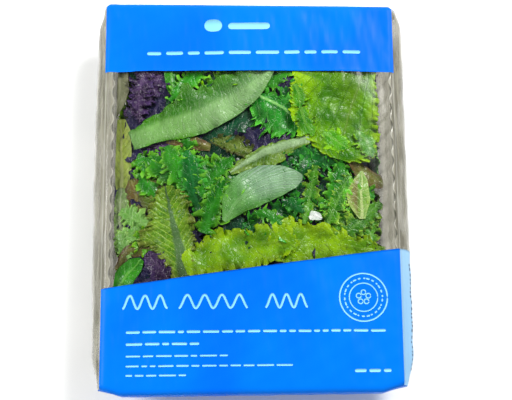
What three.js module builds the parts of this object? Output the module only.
// A sealed film bag of mixed salad leaves, lying on its back with its window up.
// The film is drawn over the rim of a shallow tray and over the leaves that fill it, so the closed
// outside of the bag is one solid: a printed band, a window where the leaves press up in relief,
// a printed panel with a slanting top edge, two bulging side gussets and two sealed ends.
// Millimetres. X runs across the bag, Y from its bottom end to its top end, Z up from the table.

import * as THREE from "three";
import { ParametricGeometry } from "three/addons/geometries/ParametricGeometry.js";
import { mergeGeometries, mergeVertices } from "three/addons/utils/BufferGeometryUtils.js";

// Driving dimensions
const PANEL_WIDTH = 192; // the front between its two side creases, half way along
const PANEL_TAPER = 0.008; // the top end is wider by this share, and the bottom end narrower
const PANEL_LENGTH = 260; // the front from end to end
const RIM_HEIGHT = 44; // the tray's rim above the table
const CROWN = 3.4; // how far the filled middle stands above the rim
const BACK_WIDTH = 172; // the flat that the bag lies on
const BACK_LENGTH = 242;
const BACK_CORNER = 14;

// The front's edge: rounded over the crease
const CREASE_DROP = 1.4;
const CREASE_WIDTH = 3;

// Its two ends: where each lies at the middle, how it slants, and how its corners are cut off
const TOP_LINE = { y: 130.6, slope: -0.02, across: 2, along: 1 };
const BOTTOM_LINE = { y: -130.4, slope: 0.006, across: 13, along: 4 };

// Print: where the top band ends and where the bottom panel starts, with the slope of each edge
const BAND_EDGE = { y: 81.9, slope: -0.01 };
const PANEL_EDGE = { y: -51.6, slope: 0.129 };

// The tray's fluted rim, seen and felt through the film on both long sides
const RIM_HALF = 92;
const RIM_OFFSET = 1.5;
const FLUTE_PITCH = 12.2;
const FLUTE_START = 7.2; // where along the bag a flute bulges most
const FLUTE_DEPTH = 0.9;
const RIM_STEP = 1.3; // the film dips this far inside the rim

// Side gussets, each out past its crease by bulge, less a share taper of it towards the ends, and
// less a further share within a corner's length of each end
const LEFT_GUSSET = { bulge: 8.4, taper: 0.25 };
const RIGHT_GUSSET = { bulge: 8.3, taper: 0.02 };
const BOTTOM_CORNER = { length: 25, share: 0.6 };
const TOP_CORNER = { length: 14, share: 0.45 };
const GUSSET_PLEAT = 1.6;

// Sealed ends: how far each stands out, and its seal past that
const BOTTOM_END = { bulge: 0.2, seal: 0.4 };
const TOP_END = { bulge: 0.3, seal: 0.4 };

// Mesh density
const WINDOW_ROWS = 46;
const PANEL_ROWS = 8;
const BAND_ROWS = 5;
const COLUMNS = 48;
const EDGE_ROWS = [0, 2, 6.5]; // distances of the first rows from an end
const WALL_LEVELS = [0, 0.16, 0.36, 0.5, 0.66, 0.9, 1]; // rings down the wall, as shares of its height

// Colours
const PRINT_BLUE = new THREE.Color(0x0a86f2);
const CLEAR_FILM = new THREE.Color(0xc9cdc4);
const SIDE_PRINT = new THREE.Color(0xd5e8f8);
const SHADE = new THREE.Color(0x1d3320);
const LIME = new THREE.Color(0x8cc21c);
const ROMAINE = new THREE.Color(0x9ccb6a);
const CURLY = new THREE.Color(0x2f8a2c);
const OLIVE = new THREE.Color(0x8a9c3a);
const ROSSO = new THREE.Color(0x4a2a4c);
const RUSSET = new THREE.Color(0x7d6040);

// The leaves that show, lowest first. Each runs from its stem end to its tip on the front, bows to
// one side by bow, is half wide at its broadest, stands lift proud and has a rib or a frilled edge.
const LEAVES = [
  { stem: [-83, 0], tip: [-86, 58], half: 11, bow: 0, lift: 0.7, rib: 0.2, frill: 0.1, tint: OLIVE },
  { stem: [-60, 88], tip: [-6, 74], half: 13, bow: 3, lift: 0.9, rib: 0, frill: 0.5, tint: LIME },
  { stem: [-62, 46], tip: [-72, 88], half: 15, bow: 0, lift: 1.1, rib: 0, frill: 0.7, tint: ROSSO },
  { stem: [-14, 30], tip: [-72, 33], half: 8, bow: 0, lift: 0.5, rib: 0, frill: 0.3, tint: ROSSO },
  { stem: [-88, -66], tip: [-66, -40], half: 11, bow: 2, lift: 1.1, rib: 0.3, frill: 0, tint: CURLY },
  { stem: [-56, -56], tip: [-84, -38], half: 9, bow: -6, lift: 0.9, rib: 0.2, frill: 0, tint: ROSSO },
  { stem: [-66, -14], tip: [-86, 6], half: 11, bow: 2, lift: 0.8, rib: 0.2, frill: 0.2, tint: RUSSET },
  { stem: [-36, -16], tip: [-64, 26], half: 18, bow: -4, lift: 1.4, rib: 0.4, frill: 0.8, tint: CURLY },
  { stem: [-28, -34], tip: [-16, 28], half: 15, bow: 3, lift: 1.3, rib: 0.4, frill: 0.8, tint: CURLY },
  { stem: [39, 34], tip: [-13, 11], half: 9, bow: -3, lift: 1.2, rib: 0.6, frill: 0, tint: OLIVE },
  { stem: [34, 54], tip: [0, 50], half: 21, bow: 0, lift: 1.5, rib: 0.6, frill: 0.9, tint: CURLY },
  { stem: [46, -30], tip: [46, 26], half: 16, bow: 2, lift: 1.0, rib: 0.2, frill: 0.9, tint: CURLY },
  { stem: [66, 22], tip: [91, 2], half: 9, bow: 0, lift: 0.9, rib: 0.3, frill: 0.1, tint: RUSSET },
  { stem: [72, -24], tip: [76, 16], half: 9, bow: -1, lift: 1.2, rib: 0.6, frill: 0, tint: ROMAINE },
  { stem: [-42, -64], tip: [-53, 5], half: 18, bow: 2, lift: 1.7, rib: 0.9, frill: 0.8, tint: OLIVE },
  { stem: [88, -46], tip: [26, -22], half: 13, bow: 3, lift: 1.3, rib: 0.2, frill: 0.8, tint: LIME },
  { stem: [-38, -54], tip: [38, -36], half: 19, bow: 5, lift: 2.0, rib: 0.4, frill: 0.7, tint: LIME },
  { stem: [-19, -23], tip: [35, 9], half: 11, bow: 4, lift: 3.0, rib: 1.0, frill: 0, tint: ROMAINE },
  { stem: [77, 92], tip: [46, 12], half: 32, bow: 2, lift: 2.4, rib: 0.7, frill: 0.9, tint: LIME },
  { stem: [-80, 33], tip: [18, 84], half: 16, bow: -9, lift: 3.0, rib: 1.0, frill: 0.1, tint: ROMAINE },
];
const FRILL_PITCH = 8.5; // along a frilled margin
const LEAF_EASE = 0.12; // the share of a leaf's length over which its ends rise

const HALF_WIDTH = PANEL_WIDTH / 2;
const HALF_LENGTH = PANEL_LENGTH / 2;
const clamp01 = (value) => THREE.MathUtils.clamp(value, 0, 1);
const smooth = (from, to, value) => THREE.MathUtils.smoothstep(value, from, to);

const bandEdge = (x) => BAND_EDGE.y + BAND_EDGE.slope * x;
const panelEdge = (x) => PANEL_EDGE.y + PANEL_EDGE.slope * x;

// The front's two ends at a place across it: straight, and falling back towards the corners
function endAt(x, side) {
  const { y, slope, across, along } = side > 0 ? TOP_LINE : BOTTOM_LINE;
  const share = clamp01((Math.abs(x) - HALF_WIDTH + across) / across);
  return y + slope * x - side * along * share;
}

// A column's place across the front: evenly spaced, with one more close to each side crease
function columnX(column) {
  const inner = HALF_WIDTH - CREASE_WIDTH;
  if (column === 0 || column === COLUMNS + 2) return column ? HALF_WIDTH : -HALF_WIDTH;
  return THREE.MathUtils.mapLinear(column, 1, COLUMNS + 1, -inner, inner);
}

// A row's place along the front: rows follow the ends, then the two printed edges
function rowY(row, x) {
  const bottom = endAt(x, -1);
  const top = endAt(x, 1);
  const near = EDGE_ROWS.length - 1;
  const stops = [
    { rows: PANEL_ROWS, from: bottom + EDGE_ROWS[near], to: panelEdge(x) },
    { rows: WINDOW_ROWS, from: panelEdge(x), to: bandEdge(x) },
    { rows: BAND_ROWS, from: bandEdge(x), to: top - EDGE_ROWS[near] },
  ];
  if (row <= near) return bottom + EDGE_ROWS[row];
  let left = row - near;
  for (const { rows, from, to } of stops) {
    if (left <= rows) return from + ((to - from) * left) / rows;
    left -= rows;
  }
  return top - EDGE_ROWS[near - left];
}

const ACROSS = COLUMNS + 2;
const ALONG = PANEL_ROWS + WINDOW_ROWS + BAND_ROWS + 2 * (EDGE_ROWS.length - 1);

// Where a point lies on a leaf: how far along it (0 to 1) and how far across, 1 being its margin
function placeOnLeaf(leaf, x, y) {
  const stem = new THREE.Vector2(...leaf.stem);
  const axis = new THREE.Vector2(...leaf.tip).sub(stem);
  const length = axis.length();
  axis.normalize();
  const offset = new THREE.Vector2(x, y).sub(stem);
  const along = offset.dot(axis) / length;
  const bowed = leaf.bow * Math.sin(Math.PI * clamp01(along));
  const side = axis.x * offset.y - axis.y * offset.x - bowed;
  const broad = leaf.half * Math.sqrt(Math.sin(Math.PI * clamp01(along) ** 0.8));
  return { along, side, across: Math.abs(side) / Math.max(broad, 0.01), length };
}

// A leaf's height above the film around it: a dome to its margin, a rib down the middle that thins
// to the tip, and frills that grow towards the margin, all easing in at both ends
function leafRelief(leaf, x, y) {
  const { along, side, across, length } = placeOnLeaf(leaf, x, y);
  if (along <= 0 || along >= 1 || across >= 1) return 0;
  const dome = leaf.lift * Math.sqrt(1 - across ** 3);
  const rib = leaf.rib * Math.exp(-((side / (4.5 - 3 * along)) ** 2));
  const wave = Math.sin((2 * Math.PI * along * length) / FRILL_PITCH + 2 * Math.sign(side));
  const ease = smooth(0, LEAF_EASE, along) * smooth(0, LEAF_EASE, 1 - along);
  return ease * (dome + rib + leaf.frill * across ** 2 * wave);
}

// The leaf that shows at a place, and its relief
function leafAt(x, y) {
  let found = { relief: 0, leaf: null };
  for (const leaf of LEAVES) {
    const relief = leafRelief(leaf, x, y);
    if (relief > 0 && relief > 0.6 * found.relief) found = { relief, leaf };
  }
  return found;
}

// 1 where the film lies over the tray's hollow, 0 on its flange, with the fluted edge between
function insideRim(x, y) {
  const flute = FLUTE_DEPTH * Math.cos((2 * Math.PI * (y - FLUTE_START)) / FLUTE_PITCH);
  return smooth(0, 3, RIM_HALF + flute - Math.abs(x - RIM_OFFSET));
}

const inWindow = (x, y) => smooth(0, 8, bandEdge(x) - y) * smooth(0, 8, y - panelEdge(x));

// Height of the front: rim, crown, dip inside the rim, leaves in the window, rounded outer crease
function frontZ(x, y) {
  const crown = CROWN * (1 - (x / HALF_WIDTH) ** 2) ** 0.8 * clamp01(1 - (y / HALF_LENGTH) ** 4);
  const dip = RIM_STEP * insideRim(x, y) * (0.25 + 0.75 * inWindow(x, y)) * smooth(60, 90, Math.abs(x));
  const leaves = leafAt(x, y).relief * inWindow(x, y) * insideRim(x, y);
  const side = Math.max(0, 1 - (HALF_WIDTH - Math.abs(x)) / CREASE_WIDTH);
  const end = Math.max(0, 1 - Math.min(endAt(x, 1) - y, y - endAt(x, -1)) / CREASE_WIDTH);
  return RIM_HEIGHT + crown - dip + leaves - CREASE_DROP * (side ** 2 + end ** 2);
}

function frontPoint(column, row, target) {
  const x = columnX(column);
  const y = rowY(row, x);
  return target.set(x, y, frontZ(x, y));
}

// Grid steps around the front's edge, anticlockwise from its bottom left corner
const AROUND = 2 * (ACROSS + ALONG);
function edgeStep(step) {
  if (step <= ACROSS) return [step, 0];
  if (step <= ACROSS + ALONG) return [ACROSS, step - ACROSS];
  if (step <= 2 * ACROSS + ALONG) return [2 * ACROSS + ALONG - step, ALONG];
  return [0, AROUND - step];
}

// The flat back's edge under a place on the front's edge: drawn in, with round corners
function backPoint(front, target) {
  const halfX = BACK_WIDTH / 2;
  const halfY = BACK_LENGTH / 2;
  const x = (front.x * halfX) / HALF_WIDTH;
  const y = (front.y * halfY) / HALF_LENGTH;
  const overX = Math.abs(x) - (halfX - BACK_CORNER);
  const overY = Math.abs(y) - (halfY - BACK_CORNER);
  if (overX <= 0 || overY <= 0) return target.set(x, y, 0);
  const pull = Math.max(1, Math.hypot(overX, overY) / BACK_CORNER);
  return target.set(
    Math.sign(x) * (halfX - BACK_CORNER + overX / pull),
    Math.sign(y) * (halfY - BACK_CORNER + overY / pull),
    0,
  );
}

// The share of a gusset's bulge that is left near the bag's ends
function cornerEase(y) {
  const bottom = smooth(HALF_LENGTH - BOTTOM_CORNER.length, HALF_LENGTH, -y);
  const top = smooth(HALF_LENGTH - TOP_CORNER.length, HALF_LENGTH, y);
  return 1 - BOTTOM_CORNER.share * bottom - TOP_CORNER.share * top;
}

// How far the film stands out past the front's edge, at a share of the drop to the table
function standOut(front, share) {
  const atSide = smooth(HALF_WIDTH - 8, HALF_WIDTH, Math.abs(front.x));
  const atEnd = 1 - atSide;
  const round = Math.sin(Math.PI * share ** 0.7);
  const { bulge, taper } = front.x < 0 ? LEFT_GUSSET : RIGHT_GUSSET;
  const left = cornerEase(front.y) * (1 - taper * (front.y / HALF_LENGTH) ** 2);
  const pleat = GUSSET_PLEAT * Math.max(0, 1 - Math.abs(share - 0.5) / 0.15);
  const end = front.y < 0 ? BOTTOM_END : TOP_END;
  const seal = end.seal * smooth(0.4, 0.5, share) * (1 - smooth(0.7, 0.9, share));
  return {
    x: Math.sign(front.x) * atSide * left * (bulge * round - pleat),
    y: Math.sign(front.y) * atEnd * (end.bulge * round + seal),
  };
}

// A point on the wall: straight down from the front's edge at first, then drawn in to the back's
function wallPoint(step, level, target) {
  const front = frontPoint(...edgeStep(step % AROUND), new THREE.Vector3());
  const share = WALL_LEVELS[level];
  const out = standOut(front, share);
  backPoint(front, target).lerp(front, 1 - smooth(0.3, 1, share));
  return target.set(target.x + out.x, target.y + out.y, front.z * (1 - share));
}

// A closed patch of the bag from a function of grid steps. flip turns its faces over.
function patch(point, across, down, flip = false) {
  const at = (u, v, target) => point(Math.round((flip ? 1 - u : u) * across), Math.round(v * down), target);
  return new ParametricGeometry(at, across, down).deleteAttribute("uv").deleteAttribute("normal");
}

// The flat back, as a fan about its middle
function backFace() {
  const points = [new THREE.Vector3(0, 0, 0)];
  const index = [];
  for (let step = 0; step < AROUND; step += 1) {
    points.push(wallPoint(step, WALL_LEVELS.length - 1, new THREE.Vector3()));
    index.push(0, ((step + 1) % AROUND) + 1, step + 1);
  }
  return new THREE.BufferGeometry().setFromPoints(points).setIndex(index);
}

// What shows at a place on the outside: print, leaf, shade between leaves, or clear film
function colourAt({ x, y, z }) {
  const onFront = Math.abs(x) < HALF_WIDTH && z > RIM_HEIGHT - CREASE_DROP;
  if (!onFront && x > HALF_WIDTH && y < panelEdge(x)) return SIDE_PRINT;
  if (!onFront) return CLEAR_FILM;
  if (y > bandEdge(x) || y < panelEdge(x)) return PRINT_BLUE;
  if (insideRim(x, y) < 0.5) return CLEAR_FILM;
  return leafAt(x, y).leaf?.tint ?? SHADE;
}

// Draws every point out or in across the bag, by the panel's taper at its place along it
function widened(geometry) {
  const places = geometry.getAttribute("position");
  for (let point = 0; point < places.count; point += 1) {
    const share = (PANEL_TAPER * places.getY(point)) / HALF_LENGTH;
    places.setX(point, places.getX(point) * (1 + share));
  }
  return geometry;
}

// Colours each triangle by what its middle shows
function paint(geometry) {
  const places = geometry.getAttribute("position");
  const colours = new Float32Array(places.count * 3);
  const corner = new THREE.Vector3();
  for (let first = 0; first < places.count; first += 3) {
    const middle = new THREE.Vector3();
    for (let k = 0; k < 3; k += 1) middle.add(corner.fromBufferAttribute(places, first + k));
    const colour = colourAt(middle.divideScalar(3));
    for (let k = 0; k < 3; k += 1) colour.toArray(colours, (first + k) * 3);
  }
  return geometry.setAttribute("color", new THREE.BufferAttribute(colours, 3));
}

function bagGeometry() {
  const front = patch(frontPoint, ACROSS, ALONG);
  const walls = patch(wallPoint, AROUND, WALL_LEVELS.length - 1, true);
  const closed = mergeVertices(mergeGeometries([front, walls, backFace()]), 1e-3);
  const painted = paint(widened(closed).toNonIndexed());
  painted.computeVertexNormals();
  return painted;
}

const saladBag = new THREE.Mesh(
  bagGeometry(),
  new THREE.MeshStandardMaterial({ vertexColors: true, roughness: 0.28, metalness: 0 }),
);
saladBag.name = "salad_bag";

const part = new THREE.Group();
part.add(saladBag);

export default part;
